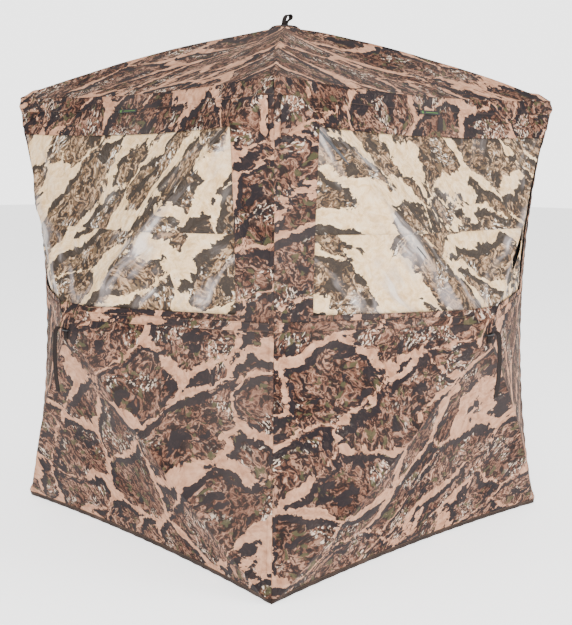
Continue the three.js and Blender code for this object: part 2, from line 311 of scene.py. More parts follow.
class Wire:
    """A node's socket that can be used in sums, so that shader maths reads as maths."""

    def __init__(self, shader, socket):
        self.shader, self.socket = shader, socket

    def _math(self, operation, *values):
        return self.shader.node("ShaderNodeMath", {"operation": operation}, *values)

    def __add__(self, other):
        return self._math("ADD", self, other)

    def __sub__(self, other):
        return self._math("SUBTRACT", self, other)

    def __mul__(self, other):
        return self._math("MULTIPLY", self, other)

    def __truediv__(self, other):
        return self._math("DIVIDE", self, other)

    def __gt__(self, other):
        return self._math("GREATER_THAN", self, other)

    def __lt__(self, other):
        return self._math("LESS_THAN", self, other)

    def __rsub__(self, other):
        return self._math("SUBTRACT", other, self)

    def __abs__(self):
        return self._math("ABSOLUTE", self)

    __radd__, __rmul__ = __add__, __mul__

    def at_least(self, other):
        return self._math("MAXIMUM", self, other)

    def at_most(self, other):
        return self._math("MINIMUM", self, other)

    def fraction(self):
        return self._math("FRACT", self)

    def step(self, low, high):
        """0 below low, 1 above high, smooth between."""
        settings = {"interpolation_type": "SMOOTHSTEP"}
        return self.shader.node(
            "ShaderNodeMapRange", settings, Value=self, **{"From Min": low, "From Max": high}
        )


class Shader:
    """A material's node tree."""

    def __init__(self, name):
        self.material = bpy.data.materials.new(name)
        self.material.use_nodes = True
        self.tree = self.material.node_tree
        self.shader = self.tree.nodes["Principled BSDF"]

    def node(self, kind, settings=None, *values, out=0, **inputs):
        """Any node: its settings first, then the values or links of its sockets, by place or by name."""
        node = self.tree.nodes.new(kind)
        for key, value in (settings or {}).items():
            setattr(node, key, value)
        for key, value in [*enumerate(values), *inputs.items()]:
            self.feed(node.inputs[key], value)
        return Wire(self, node.outputs[out])

    def feed(self, socket, value):
        if isinstance(value, Wire):
            self.tree.links.new(value.socket, socket)
        else:
            socket.default_value = value

    def uv(self, name="cut"):
        return self.node("ShaderNodeUVMap", {"uv_map": name})

    def object_coords(self):
        return self.node("ShaderNodeTexCoord", out="Object")

    def split(self, vector):
        x = self.node("ShaderNodeSeparateXYZ", None, vector)
        return x, Wire(self, x.socket.node.outputs[1])

    def shift(self, vector, by):
        return self.node("ShaderNodeVectorMath", {"operation": "ADD"}, vector, by)

    def scaled(self, vector, by):
        return self.node("ShaderNodeVectorMath", {"operation": "SCALE"}, vector, Scale=by)

    def turned(self, vector, degrees, stretch=(1, 1, 1)):
        """Coordinates for a pattern that runs at that angle and is stretched along itself."""
        settings = {"vector_type": "TEXTURE"}
        return self.node(
            "ShaderNodeMapping", settings, vector, Rotation=(0, 0, math.radians(degrees)), Scale=stretch
        )

    def noise(self, vector, scale, detail=2.0, roughness=0.5, distortion=0.0, colour=False):
        return self.node(
            "ShaderNodeTexNoise",
            {"noise_dimensions": "3D"},
            out="Color" if colour else 0,
            Vector=vector,
            Scale=scale,
            Detail=detail,
            Roughness=roughness,
            Distortion=distortion,
        )

    def voronoi(self, vector, scale, feature="F1", out="Distance"):
        return self.node("ShaderNodeTexVoronoi", {"feature": feature}, out=out, Vector=vector, Scale=scale)

    def wander(self, vector, scale, amount, detail=2.0):
        """The vector pushed about by noise, up to about amount metres."""
        field = self.noise(vector, scale, detail, colour=True)
        centred = self.shift(field, (-0.5, -0.5, -0.5))
        return self.node(
            "ShaderNodeVectorMath", {"operation": "MULTIPLY_ADD"}, centred, (2 * amount,) * 3, vector
        )

    def mix(self, factor, a, b, blend="MIX"):
        node = self.tree.nodes.new("ShaderNodeMix")
        node.data_type, node.blend_type = "RGBA", blend
        for index, value in ((0, factor), (6, a), (7, b)):
            if isinstance(value, tuple) and len(value) == 3:
                value = (*value, 1.0)
            self.feed(node.inputs[index], value)
        return Wire(self, node.outputs[2])

    def ramp(self, factor, *stops):
        node = self.tree.nodes.new("ShaderNodeValToRGB")
        elements = node.color_ramp.elements
        while len(elements) < len(stops):
            elements.new(0.5)
        for element, (position, colour) in zip(elements, stops):
            element.position, element.color = position, (*colour, 1.0)
        self.feed(node.inputs[0], factor)
        return Wire(self, node.outputs[0])

    def bump(self, height, distance, strength=1.0, below=None):
        inputs = {"Height": height, "Distance": distance, "Strength": strength}
        if below is not None:
            inputs["Normal"] = below
        return self.node("ShaderNodeBump", None, **inputs)

    def finish(self, **sockets):
        for key, value in sockets.items():
            if isinstance(value, tuple) and len(value) == 3:
                value = (*value, 1.0)
            self.feed(self.shader.inputs[key.replace("_", " ")], value)
        return self.material


def srgb(r, g, b):
    return tuple((c / 255 / 12.92) if c <= 10 else ((c / 255 + 0.055) / 1.055) ** 2.4 for c in (r, g, b))


def weave(s, uv, pitch=0.0012):
    """The height of a plain weave."""
    x, y = s.split(s.scaled(uv, 1 / pitch))
    warp = s.node("ShaderNodeMath", {"operation": "SINE"}, x * math.pi)
    weft = s.node("ShaderNodeMath", {"operation": "SINE"}, y * math.pi)
    return abs(warp) + abs(weft)


def stitches(across, along, pitch=0.0042, width=0.0011):
    """A row of stitches: 1 on the thread. across is the distance from the row, along runs with it."""
    line = 1 - (abs(across) / width).at_most(1.0)
    dash = abs((along / pitch).fraction() - 0.5) < 0.36
    return line * dash


def bark_print(s, uv, palette, run, fineness=5.4, stretch=1.9, widest=0.34):
    """The printed pattern: jagged veins of bare ground between patches of bark, with a dark ragged edge
    under each vein. run is the angle that the veins follow, and palette names the colours."""
    warped = s.wander(uv, 1.9, 0.075)
    warped = s.wander(warped, 6.5, 0.040, 3.0)
    rough = s.wander(warped, 21.0, 0.0170, 3.0)
    rough = s.wander(rough, 62.0, 0.0062, 2.0)

    def veins(at, widest):
        edge = s.voronoi(s.turned(at, run, (stretch, 1.0, 1.0)), fineness, "DISTANCE_TO_EDGE")
        swell = s.noise(at, 5.2, 2.0)
        scallop = s.noise(at, 38.0, 4.0, 0.62)
        return edge - ((swell - 0.41) * widest).at_least(0.010) + (scallop - 0.5) * 0.17

    bare = 1 - veins(rough, widest).step(-0.0015, 0.0025)
    shade = 1 - (veins(s.shift(rough, (-0.009, 0.021, 0.0)), widest + 0.08) - 0.010).step(-0.0015, 0.0025)
    blot = s.noise(s.turned(rough, run, (1.8, 1.0, 1.0)), 17.0, 3.0, 0.55)
    shade = shade.at_least(blot.step(0.585, 0.60))

    streak_at = s.turned(s.wander(rough, 9.0, 0.045, 2.0), run + 62, (2.4, 1.0, 1.0))
    grain = s.noise(streak_at, 44.0, 5.0, 0.66, 1.2)
    bark = s.ramp(
        grain,
        (0.38, palette["dark"]),
        (0.45, palette["brown"]),
        (0.52, palette["russet"]),
        (0.58, palette["mid"]),
        (0.65, palette["light"]),
        (0.73, palette["pale"]),
    )
    curl = s.node(
        "ShaderNodeTexWave",
        {"wave_type": "BANDS", "bands_direction": "DIAGONAL"},
        out="Fac",
        Vector=rough,
        Scale=7.5,
        Distortion=17.0,
        Detail=3.0,
        **{"Detail Scale": 2.4, "Detail Roughness": 0.62},
    )
    bark = s.mix((1 - curl.step(0.12, 0.36)) * 0.92, bark, palette["dark"])
    bark = s.mix(curl.step(0.88, 0.98) * 0.65, bark, palette["light"])
    tone = s.noise(rough, 5.5, 3.0)
    bark = s.mix(tone.step(0.44, 0.58) * 0.85, bark, palette["deepen"], "MULTIPLY")
    cluster = s.noise(s.shift(uv, (3.1, 1.7, 0.0)), 8.0, 1.0).step(0.55, 0.62)
    fleck = s.noise(s.turned(rough, run + 50, (1.8, 1.0, 1.0)), 130.0, 2.0, 0.5).step(0.56, 0.61)
    bark = s.mix(cluster * fleck * 0.9, bark, palette["fleck"])
    moss = s.noise(s.shift(rough, (1.3, 5.2, 0.0)), 36.0, 2.0).step(0.60, 0.65)
    bark = s.mix(moss * 0.85, bark, palette["moss"])

    mottle = s.noise(rough, 44.0, 4.0, 0.65)
    ground = s.ramp(
        mottle, (0.34, palette["ground_dark"]), (0.52, palette["ground"]), (0.70, palette["ground_light"])
    )
    shadow = s.mix(mottle.step(0.52, 0.66) * 0.5, palette["shade"], palette["dark"])
    colour = s.mix(shade * 0.96, bark, shadow)
    return s.mix(bare, colour, ground)


SHELL_COLOURS = {
    "ground": (0.470, 0.245, 0.148),
    "ground_light": (0.600, 0.345, 0.222),
    "ground_dark": (0.320, 0.152, 0.086),
    "shade": (0.014, 0.011, 0.013),
    "dark": (0.016, 0.011, 0.011),
    "brown": (0.052, 0.026, 0.019),
    "russet": (0.112, 0.047, 0.030),
    "mid": (0.205, 0.098, 0.062),
    "light": (0.400, 0.225, 0.150),
    "pale": (0.600, 0.400, 0.290),
    "deepen": (0.50, 0.42, 0.40),
    "fleck": (0.66, 0.53, 0.42),
    "moss": (0.060, 0.056, 0.026),
}
WINDOW_COLOURS = {
    "ground": (0.860, 0.600, 0.330),
    "ground_light": (0.950, 0.740, 0.480),
    "ground_dark": (0.640, 0.400, 0.180),
    "shade": (0.026, 0.017, 0.011),
    "dark": (0.024, 0.015, 0.010),
    "brown": (0.090, 0.050, 0.024),
    "russet": (0.220, 0.120, 0.056),
    "mid": (0.400, 0.245, 0.130),
    "light": (0.640, 0.440, 0.270),
    "pale": (0.860, 0.680, 0.480),
    "deepen": (0.66, 0.60, 0.56),
    "fleck": (0.90, 0.80, 0.68),
    "moss": (0.120, 0.074, 0.036),
}


def cloth_material(name, phase, run, seams=()):
    s = Shader(name)
    uv = s.uv()
    colour = bark_print(s, s.shift(uv, phase), SHELL_COLOURS, run)
    x, y = s.split(uv)
    height = weave(s, uv) * 0.10
    crease = s.noise(s.wander(uv, 9.0, 0.05), 11.0, 5.0, 0.58)
    fade = s.noise(uv, 2.2, 3.0)
    colour = s.mix(fade.step(0.35, 0.7) * 0.06, colour, (0.42, 0.34, 0.30))
    thread = None
    for axis, at in seams:
        across, along = (y - at, x) if axis == "y" else (abs(x) - at, y)
        row = stitches(across, along)
        thread = row if thread is None else thread.at_least(row)
        furrow = 1 - (abs(across) / 0.004).at_most(1.0)
        height = height - furrow * 0.5
    if thread is not None:
        colour = s.mix(thread * 0.85, colour, srgb(96, 72, 58))
        height = height + thread * 0.5
    low = s.bump(crease, 0.010, 0.55)
    normal = s.bump(height, 0.0011, 0.7, low)
    material = s.finish(
        Base_Color=colour,
        Roughness=crease * 0.16 + 0.76,
        Normal=normal,
        Specular_IOR_Level=0.12,
    )
    return material


def window_material(name, phase, run, painted_reflection_spread):
    """See-through mesh, printed, with painted light in its colour: a grey painted reflection in streaks where it
    is pulled tight along the pole and in scattered patches, and near-white painted highlights at the brightest
    streaks.
    """
    s = Shader(name)
    uv = s.uv()
    colour = bark_print(s, s.shift(uv, phase), WINDOW_COLOURS, run, 5.6, 2.4, 0.62)
    x, y = s.split(uv)
    slope = HALF / WALL_HALF
    across = abs(abs(x) - y * slope)
    ridge = 1 - (across / 0.11).at_most(1.0)
    streak_at = s.wander(uv, 5.0, 0.05)
    sx, sy = s.split(streak_at)
    folded = s.node("ShaderNodeCombineXYZ", None, abs(sx), sy, 0.0)
    streak = s.noise(s.turned(folded, 48, (6.0, 1.0, 1.0)), 20.0, 3.0, 0.55)
    patch = s.noise(s.shift(uv, (4.0, 2.0, 0.0)), 3.6, 3.0, 0.6)
    # painted reflection: grey streaks along the pole's ridge and in patches stand in for the white surroundings
    # seen in the glossy mesh; the mesh is made glossier there too
    painted_reflection = streak.step(0.47, 0.60) * (ridge * 0.8 + patch.step(0.46, 0.58) * painted_reflection_spread).at_most(1.0)
    colour = s.mix(painted_reflection * 0.50, colour, (0.42, 0.36, 0.35))
    # painted highlight: the brightest of those streaks painted near white
    painted_highlight = streak.step(0.585, 0.66) * painted_reflection
    colour = s.mix(painted_highlight * 0.45, colour, (0.95, 0.88, 0.82))
    # the mesh's holes are painted dark: painted shade of the cabin's inside seen through them
    gap_x, gap_y = s.split(s.scaled(uv, 1 / 0.0024))
    hole = (abs(gap_x.fraction() - 0.5) < 0.20) * (abs(gap_y.fraction() - 0.5) < 0.20)
    colour = s.mix(hole * 0.35, colour, (0.02, 0.018, 0.016))
    crease = s.noise(s.turned(folded, 48, (3.2, 1.0, 1.0)), 15.0, 5.0, 0.6)
    normal = s.bump(crease, 0.030, 0.9)
    return s.finish(
        Base_Color=colour,
        Roughness=0.58 - painted_reflection * 0.28,
        Normal=normal,
        Specular_IOR_Level=0.30,
    )


def coating_material():
    s = Shader("Black coating")
    uv = s.uv()
    height = weave(s, uv, 0.0015)
    scuff = s.noise(uv, 14.0, 5.0)
    colour = s.ramp(scuff, (0.3, (0.010, 0.010, 0.011)), (0.75, (0.030, 0.030, 0.032)))
    normal = s.bump(height, 0.0005, 0.5, s.bump(s.noise(uv, 9.0, 4.0), 0.008, 0.5))
    return s.finish(Base_Color=colour, Roughness=0.42 + scuff * 0.25, Normal=normal)


def mesh_material():
    """Black screen mesh in the part of a window that its panel leaves open."""
    s = Shader("Black mesh")
    x, y = s.split(s.scaled(s.uv(), 1 / 0.0016))
    wire = (abs(x.fraction() - 0.5) > 0.26).at_least(abs(y.fraction() - 0.5) > 0.26)
    # the gaps between the wires are painted near black: painted shade of the cabin's inside seen through them
    colour = s.mix(wire, (0.002, 0.002, 0.002), (0.022, 0.020, 0.019))
    return s.finish(Base_Color=colour, Roughness=0.6, Normal=s.bump(wire, 0.0006, 0.8))


def webbing_material(name, colour):
    s = Shader(name)
    uv = s.uv()
    x, y = s.split(uv)
    rib = abs(s.node("ShaderNodeMath", {"operation": "SINE"}, y * (math.pi / 0.0017)))
    lane = abs(s.node("ShaderNodeMath", {"operation": "SINE"}, x * (math.pi / 0.0046)))
    fuzz = s.noise(uv, 420.0, 3.0)
    light = tuple(c * 1.9 + 0.004 for c in colour)
    # lighter on the rib crests, a painted highlight, and in random fuzz
    tone = (rib * 0.55 + fuzz * 0.45).at_most(1.0)
    wear_and_painted_highlight = s.mix(tone, colour, light)
    # lighter along the strap's long edges
    edge = (abs(x) / 0.0105).step(0.82, 1.0)
    wear_and_painted_highlight = s.mix(edge * 0.35, wear_and_painted_highlight, light)
    return s.finish(
        Base_Color=wear_and_painted_highlight,
        Roughness=0.78 + fuzz * 0.12,
        Normal=s.bump(rib + lane * 0.5, 0.0008, 0.9),
        Specular_IOR_Level=0.2,
    )


def binding_material():
    s = Shader("Hem binding")
    uv = s.uv()
    x, y = s.split(uv)
    rib = abs(s.node("ShaderNodeMath", {"operation": "SINE"}, x * (math.pi / 0.0016)))
    dirt = s.noise(uv, 9.0, 4.0)
    colour = s.ramp(
        dirt, (0.3, (0.016, 0.010, 0.008)), (0.55, (0.032, 0.018, 0.013)), (0.75, (0.075, 0.045, 0.032))
    )
    row = stitches(y - 0.019, x)
    colour = s.mix(row * 0.8, colour, srgb(120, 96, 78))
    return s.finish(
        Base_Color=colour, Roughness=0.85, Normal=s.bump(rib + row, 0.0007, 0.8), Specular_IOR_Level=0.2
    )


def moulded_material(name, colour, roughness):
    """Moulded nylon: a fine sparked grain, and handling wear that dulls it in patches."""
    s = Shader(name)
    at = s.object_coords()
    grain = s.noise(at, 900.0, 2.0)
    patch = s.noise(at, 38.0, 4.0)
    wear_and_painted_highlight = s.ramp(patch, (0.35, colour), (0.8, tuple(c * 2.2 + 0.01 for c in colour)))
    return s.finish(Base_Color=wear_and_painted_highlight, Roughness=roughness + patch * 0.22, Normal=s.bump(grain, 0.0003, 0.5))


def rod_material():
    """Fibreglass rod: dark resin with faint lengthwise strands."""
    s = Shader("Fibreglass rod")
    x, y = s.split(s.uv("along"))
    strand = s.noise(s.node("ShaderNodeCombineXYZ", None, x * 9.0, y * 0.35, 0.0), 60.0, 3.0)
    colour = s.ramp(strand, (0.35, (0.014, 0.014, 0.016)), (0.7, (0.045, 0.045, 0.050)))
    scuff = s.noise(s.object_coords(), 60.0, 4.0)
    colour = s.mix(scuff.step(0.60, 0.72) * 0.4, colour, (0.16, 0.16, 0.16))
    return s.finish(
        Base_Color=colour, Roughness=0.26 + scuff * 0.3, Normal=s.bump(strand, 0.0003, 0.6), Coat_Weight=0.3
    )


def metal_material(name, colour, roughness):
    s = Shader(name)
    at = s.object_coords()
    scratch = s.noise(s.turned(at, 30, (12.0, 1.0, 1.0)), 120.0, 3.0)
    wear_and_painted_highlight = s.ramp(scratch, (0.3, colour), (0.8, tuple(min(1, c * 1.5) for c in colour)))
    return s.finish(
        Base_Color=wear_and_painted_highlight, Metallic=0.9, Roughness=roughness + scratch * 0.2, Normal=s.bump(
            scratch, 0.0002, 0.4
        )
    )


def zip_material():
    """Zip tape: fine twill with the coil's teeth down its middle."""
    s = Shader("Zip tape")
    uv = s.uv()
    x, y = s.split(uv)
    tooth = abs(s.node("ShaderNodeMath", {"operation": "SINE"}, y * (math.pi / 0.0022)))
    twill = s.node("ShaderNodeMath", {"operation": "SINE"}, (x + y) * (math.pi / 0.0010))
    # lighter on each of the coil's teeth and darker between them: a painted highlight on the teeth and painted
    # shade between them
    colour = s.mix(tooth * 0.5, (0.012, 0.012, 0.013), (0.05, 0.05, 0.052))
    return s.finish(Base_Color=colour, Roughness=0.6, Normal=s.bump(tooth + abs(twill) * 0.4, 0.0008, 0.8))


def label_material():
    """A woven label: black, with a plain green chevron and bar, and no lettering."""
    s = Shader("Woven label")
    x, y = s.split(s.uv("label"))
    bend = abs(y - 0.5) * 0.10
    chevron = (abs(x - 0.13 - bend) < 0.045) * (abs(y - 0.5) < 0.32)
    bar = (abs(x - 0.60) < 0.30) * (abs(y - 0.5) < 0.09)
    thread = s.noise(s.node("ShaderNodeCombineXYZ", None, x * 40.0, y * 6.0, 0.0), 6.0, 2.0)
    mark = chevron.at_least(bar)
    green = s.ramp(thread, (0.3, (0.035, 0.100, 0.012)), (0.7, (0.080, 0.210, 0.030)))
    colour = s.mix(mark, (0.010, 0.010, 0.010), green)
    return s.finish(Base_Color=colour, Roughness=0.7, Normal=s.bump(thread + mark * 0.4, 0.0004, 0.6))


def floor_material():
    s = Shader("Studio floor")
    tone = s.noise(s.object_coords(), 0.6, 2.0)
    return s.finish(
        Base_Color=s.ramp(tone, (0.3, (0.93, 0.93, 0.93)), (0.7, (0.95, 0.95, 0.95))),
        Roughness=0.9,
        Emission_Color=(1.0, 1.0, 1.0),
        Emission_Strength=1.5,
    )


MATERIAL_MAKERS = {
    "wall_cloth": lambda: cloth_material(
        "Wall cloth", (0.3, 0.1, 0.0), 36, (("y", BROW_LAP - WALL_HALF + 0.004),)
    ),
    "right_cloth": lambda: cloth_material(
        "Right wall cloth", (2.6, 1.7, 0.0), 32, (("y", BROW_LAP - WALL_HALF + 0.004),)
    ),
    "roof_cloth": lambda: cloth_material("Roof cloth", (5.2, 3.4, 0.0), 60),
    "belt_cloth": lambda: cloth_material(
        "Belt cloth",
        (0.9, 4.1, 0.0),
        20,
        (("y", BELT_HIGH - WALL_HALF - 0.004), ("y", BELT_LOW - WALL_HALF + 0.004)),
    ),
    "gusset_cloth": lambda: cloth_material("Gusset cloth", (7.7, 0.4, 0.0), 70),
    "window_upper": lambda: window_material("Window mesh, upper", (1.2, 6.3, 0.0), 50, 0.15),
    "window_lower": lambda: window_material("Window mesh, lower", (8.1, 2.2, 0.0), 36, 1.0),
    "right_window_upper": lambda: window_material("Right window mesh, upper", (4.6, 2.8, 0.0), -42, 0.25),
    "right_window_lower": lambda: window_material("Right window mesh, lower", (3.3, 9.4, 0.0), -30, 0.8),
    "coating": coating_material,
    "mesh": mesh_material,
    "webbing": lambda: webbing_material("Strap webbing", (0.010, 0.006, 0.005)),
    "tape_webbing": lambda: webbing_material("Seam tape", srgb(30, 26, 26)),
    "binding": binding_material,
    "nylon": lambda: moulded_material("Moulded nylon", (0.012, 0.012, 0.013), 0.38),
    "patch": lambda: moulded_material("Heavy corner patch", (0.020, 0.020, 0.022), 0.75),
    "rod": rod_material,
    "steel": lambda: metal_material("Pin steel", (0.42, 0.42, 0.43), 0.3),
    "zinc": lambda: metal_material("Painted zinc", (0.09, 0.09, 0.095), 0.35),
    "zip": zip_material,
    "label": label_material,
    "floor": floor_material,
}


MADE = {}


def material(key):
    """The material, made once."""
    if key not in MADE:
        MADE[key] = MATERIAL_MAKERS[key]()
    return MADE[key]


# Pieces

DARK = "coating"


def cloth_key(face):
    return {"roof": "roof_cloth", "right": "right_cloth", "left": "right_cloth"}.get(face.name, "wall_cloth")


def window_key(face):
    return "right_window" if face.name in ("right", "left") else "window"


def window_right(face):
    return DOOR_WALL_WINDOW_END if face.name == "back" else WINDOW_SIDE


def hole_in(bm, x0, x1, y0, y1):
    """Opens a rectangle in a flat cut."""
    for point, normal in (((x0, 0), (1, 0)), ((x1, 0), (1, 0)), ((0, y0), (0, 1)), ((0, y1), (0, 1))):
        cut(bm, point, normal, both=True)
    inside = [
        f
        for f in bm.faces
        if x0 < f.calc_center_median().x < x1 and y0 < f.calc_center_median().y < y1
    ]
    bmesh.ops.delete(bm, geom=inside, context="FACES")


DOOR_HINGE, DOOR_HINGE_REACH, DOOR_FREE, DOOR_FREE_REACH = 0.612, 0.610, 0.300, 0.262
DOOR_TAPE, DOOR_PLAY = 0.022, 0.0025


def door_lines(shrink):
    """The four edges of the door's trapezoid as (point, outward normal), drawn in by shrink."""
    slope = (DOOR_HINGE_REACH - DOOR_FREE_REACH) / (DOOR_HINGE - DOOR_FREE)
    slant = math.hypot(1, slope)
    n = (-slope / slant, 1 / slant)
    return [
        ((DOOR_HINGE - shrink, 0), (1, 0)),
        ((DOOR_FREE + shrink, 0), (-1, 0)),
        ((DOOR_HINGE - n[0] * shrink, DOOR_HINGE_REACH - n[1] * shrink), n),
        ((DOOR_HINGE - n[0] * shrink, -DOOR_HINGE_REACH + n[1] * shrink), (n[0], -n[1])),
    ]


def door_inside(x, y, shrink):
    return all((x - p[0]) * n[0] + (y - p[1]) * n[1] < 0 for p, n in door_lines(shrink))


def door_cut(bm, shrink):
    """Cuts along the door's edges without taking anything away."""
    for p, n in door_lines(shrink):
        cut(bm, p, n, both=True)


def drop_faces(bm, test):
    gone = [f for f in bm.faces if test(f.calc_center_median())]
    bmesh.ops.delete(bm, geom=gone, context="FACES")


ODD = {}


def declare(piece, w, h, area, owner=None):
    """Sizes a sheet by its cut. A narrow slanting cut is added to the list, in ODD, of the wall that it is sewn
    to; any other sheet clears its owner's list there.
    """
    shape = area / (w * h)
    if owner and (shape < 0.32 or min(w, h) < 0.012):
        ODD.setdefault(owner, []).append(piece)
        return
    laid = sum(p.area for p in piece.data.polygons)
    grow = math.sqrt(laid / area)
    size = (w * grow, h * grow)
    min(laid, size[0] * size[1])
    ODD.pop(owner, []) if owner else []


def panel(
    name,
    face,
    sector,
    span,
    keys,
    owner,
    hole=None,
    shave=None,
    lift=0.0,
    wrinkle=cloth_wrinkle,
    cell=CELL,
    thickness=CLOTH,
):
    """One triangle's share of a rectangular cut of cloth: shaped flat, then laid on the face."""
    bm = keep_sector(flat_cut(*span, cell), face, sector)
    if hole:
        hole_in(bm, *hole)
    if shave:
        shave(bm)
    if not bm.faces:
        bm.free()
        return None
    xs, ys = [v.co.x for v in bm.verts], [v.co.y for v in bm.verts]
    w, h = max(xs) - min(xs), max(ys) - min(ys)
    area = sum(f.calc_area() for f in bm.faces)
    piece = sewn(name, face, sector, bm, [material(k) for k in keys], lift, wrinkle, thickness)
    declare(piece, w, h, area, owner)
    return piece


class BLIND_walls(bpy.types.PropertyGroup):
    skirt: FloatProperty(
        name="Roof skirt",
        description="Depth of the roof's skirt over each wall",
        default=0.055,
        unit="LENGTH",
    )
    gusset: FloatProperty(
        name="Corner gusset",
        description="Leg of the reinforcing gusset at each top corner",
        default=0.17,
        unit="LENGTH",
    )
    seam: FloatProperty(
        name="Seam flange",
        description="Width of the sewn flange down each corner",
        default=0.016,
        unit="LENGTH",
    )


class BLIND_windows(bpy.types.PropertyGroup):
    slack: FloatProperty(
        name="Slack end",
        description="Width of the open slit at the lower panel's far end",
        default=0.075,
        unit="LENGTH",
    )
    depth: FloatProperty(
        name="Fold depth", description="How far the window's folds stand out, as a share", default=1.0
    )


class BLIND_door(bpy.types.PropertyGroup):
    tape: FloatProperty(
        name="Zip tape",
        description="Width of the zip's tape round the door",
        default=0.022,
        unit="LENGTH",
    )


class BLIND_poles(bpy.types.PropertyGroup):
    radius: FloatProperty(
        name="Rod radius", description="Radius of a fibreglass rod", default=0.0055, unit="LENGTH"
    )


class BLIND_hubs(bpy.types.PropertyGroup):
    radius: FloatProperty(
        name="Hub radius", description="Radius of a hub's moulded body", default=0.038, unit="LENGTH"
    )


class BLIND_straps(bpy.types.PropertyGroup):
    width: FloatProperty(
        name="Webbing width", description="Width of a pull strap's webbing", default=0.022, unit="LENGTH"
    )
    tail: FloatProperty(
        name="Tail", description="How far a pull strap hangs below its hub", default=0.200, unit="LENGTH"
    )


class BLIND_stage(bpy.types.PropertyGroup):
    lens: FloatProperty(name="Lens", description="Focal length of the camera, in millimetres", default=58.7)
    spot: FloatVectorProperty(
        name="Camera",
        description="Where the camera stands",
        default=(2.863, -2.708, 1.307),
        subtype="TRANSLATION",
    )


class BLIND_OT_walls(bpy.types.Operator):
    """Sews the four walls, each in the triangles that its poles divide it into"""

    bl_idname = "blind.walls"
    bl_label = "Walls"

    def execute(self, context):
        sizes = context.scene.blind_walls
        low, window_low = -WALL_HALF + 0.010, WINDOW_LOW - WALL_HALF
        window_top, skirt_low = WINDOW_HIGH - WALL_HALF, WALL_HALF - sizes.skirt
        belt = (BELT_LOW - WALL_HALF, BELT_HIGH - WALL_HALF)
        for name in WALLS:
            face, owner = FACE[name], f"wall_{name}"
            keys, wide = (cloth_key(FACE[name]), DARK), HALF
            hole = (-WINDOW_SIDE, window_right(face), window_low, window_top)

            def shave(bm, back=name == "back"):
                if back:
                    door_cut(bm, -DOOR_TAPE)
                    drop_faces(bm, lambda c: door_inside(c.x, c.y, -DOOR_TAPE))

            def sew(part, sector, span, **more):
                made = panel(f"Wall_{name}_{part}", face, sector, span, keys, owner, **more)
                return made

            sew("hub", "top", (-wide, wide, 0, window_top), hole=hole, shave=shave)
            for side, x0, x1 in (("left", -wide, 0), ("right", 0, wide)):
                if name == "back" and side == "right":
                    sew("inner", side, (0, DOOR_FREE - DOOR_TAPE, low, WALL_HALF), hole=hole, shave=shave)
                    sew(
                        "beside_door",
                        side,
                        (DOOR_FREE - DOOR_TAPE, DOOR_HINGE + DOOR_TAPE, low, WALL_HALF),
                        shave=shave,
                    )
                    sew("outer", side, (DOOR_HINGE + DOOR_TAPE, wide, low, WALL_HALF))
                else:
                    sew(side, side, (x0, x1, low, WALL_HALF), hole=hole, shave=shave)
            sew("skirt_left", "left", (-wide, wide, skirt_low, WALL_HALF), lift=0.0015)
            sew("skirt_right", "right", (-wide, wide, skirt_low, WALL_HALF), lift=0.0015)
            for side, x0, x1 in (("left", -wide, sizes.seam - wide), ("right", wide - sizes.seam, wide)):
                sew(f"seam_{side}", side, (x0, x1, low, WALL_HALF), lift=0.0014, cell=0.006)
            keys = ("belt_cloth", DARK)
            for side in ("left", "right", "bottom"):
                y0, y1 = belt if side == "bottom" else belt
                sew(
                    f"belt_{side}",
                    side,
                    (-wide + 0.004, wide - 0.004, y0, y1),
                    lift=0.0013,
                    cell=0.006,
                    shave=shave,
                )
            keys = (cloth_key(face), DARK)
            sew("bottom", "bottom", (-wide, wide, low, 0), shave=shave)
            sew("skirt", "top", (-wide, wide, skirt_low, WALL_HALF), lift=0.0015)
            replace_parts(sew("brow", "top", (-wide, wide, window_top, WALL_HALF)), owner)
        return {"FINISHED"}


class BLIND_OT_gussets(bpy.types.Operator):
    """Sews a reinforcing gusset into both top corners of every wall, and the sewn label under each eave"""

    bl_idname = "blind.gussets"
    bl_label = "Gussets and labels"

    def execute(self, context):
        leg = context.scene.blind_walls.gusset
        top = BROW_LAP - WALL_HALF
        for name in WALLS:
            face = FACE[name]
            for side, sign in (("left", -1), ("right", 1)):

                def shave(bm, sign=sign):
                    cut(bm, (sign * (HALF - leg), top), (sign * 0.62, 0.78))

                for sector in (side, "top"):
                    x0, x1 = sorted((sign * (HALF - leg), sign * (HALF - 0.018)))
                    made = panel(
                        f"Gusset_{name}_{side}_{sector}",
                        face,
                        sector,
                        (x0, x1, top - leg, top),
                        ("gusset_cloth", DARK),
                        f"wall_{name}",
                        shave=shave,
                        lift=0.0028,
                        cell=0.006,
                    )
            bm = flat_cut(-0.062, 0.042, 0.722, 0.735, 0.0035)
            uv = bm.loops.layers.uv.new("label")
            for f in bm.faces:
                for loop in f.loops:
                    loop[uv].uv = ((loop.vert.co.x + 0.062) / 0.104, (loop.vert.co.y - 0.722) / 0.013)
            label = sewn(f"Label_{name}", face, "top", bm, [material("label")], 0.0042, cloth_wrinkle, 0.0009)
        return {"FINISHED"}


